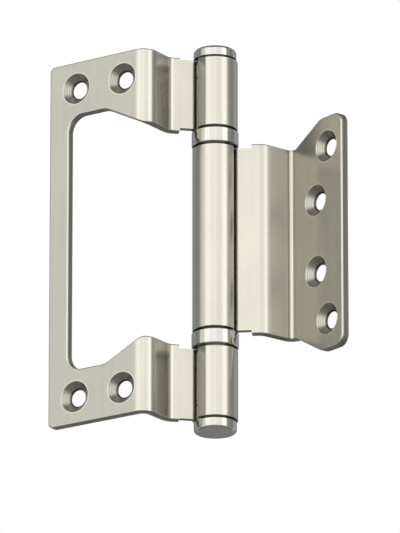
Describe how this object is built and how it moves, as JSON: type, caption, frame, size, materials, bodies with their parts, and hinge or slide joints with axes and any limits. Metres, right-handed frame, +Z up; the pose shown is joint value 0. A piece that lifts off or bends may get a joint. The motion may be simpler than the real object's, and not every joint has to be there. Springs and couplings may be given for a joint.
{
  "type": "cranked flush hinge",
  "caption": "Cranked flush hinge of folded sheet: an outer leaf with a window, an inner leaf with a flared tab that nests in it, and a rolled barrel with ball bearing rings and end caps.",
  "frame": {"origin": "middle of the outer leaf's four screw holes, on its mounting face", "axes": "+Z up along the pin, +Y out of the outer leaf's mounting face, +X from the screws to the pin"},
  "size_m": [0.0743, 0.036, 0.1058],
  "materials": {
    "brushed_leaf": "brushed nickel-toned stainless sheet",
    "polished_steel": "turned and polished steel",
    "bearing_steel": "ground steel",
    "cage_nylon": "moulded nylon"
  },
  "bodies": {
    "outer": {"outer_leaf": "brushed_leaf", "hinge_pin": "bearing_steel", "top_end_cap": "polished_steel", "bottom_end_cap": "polished_steel", "upper_bearing_top_race": "bearing_steel", "lower_bearing_bottom_race": "bearing_steel"},
    "inner": {"inner_leaf": "brushed_leaf", "upper_bearing_ring": "polished_steel", "upper_bearing_bottom_race": "bearing_steel", "lower_bearing_ring": "polished_steel", "lower_bearing_top_race": "bearing_steel"},
    "upper_ball_set": {"upper_bearing_cage": "cage_nylon", "upper_bearing_balls": "bearing_steel"},
    "lower_ball_set": {"lower_bearing_cage": "cage_nylon", "lower_bearing_balls": "bearing_steel"}
  },
  "joints": [
    {"name": "leaf_swing", "type": "hinge", "parent": "outer", "child": "inner", "pos_m": [0.0235, 0.0178, 0], "axis": [0, 0, 1], "range_deg": [-163, 107]},
    {"name": "upper_balls_roll", "type": "hinge", "parent": "outer", "child": "upper_ball_set", "pos_m": [0.0235, 0.0178, 0.0278], "axis": [0, 0, 1], "range_deg": [-81.5, 53.5]},
    {"name": "lower_balls_roll", "type": "hinge", "parent": "outer", "child": "lower_ball_set", "pos_m": [0.0235, 0.0178, -0.0278], "axis": [0, 0, 1], "range_deg": [-81.5, 53.5]}
  ],
  "couplings": [
    {"joint": "upper_balls_roll", "follows": "leaf_swing", "ratio": 0.5},
    {"joint": "lower_balls_roll", "follows": "leaf_swing", "ratio": 0.5}
  ]
}
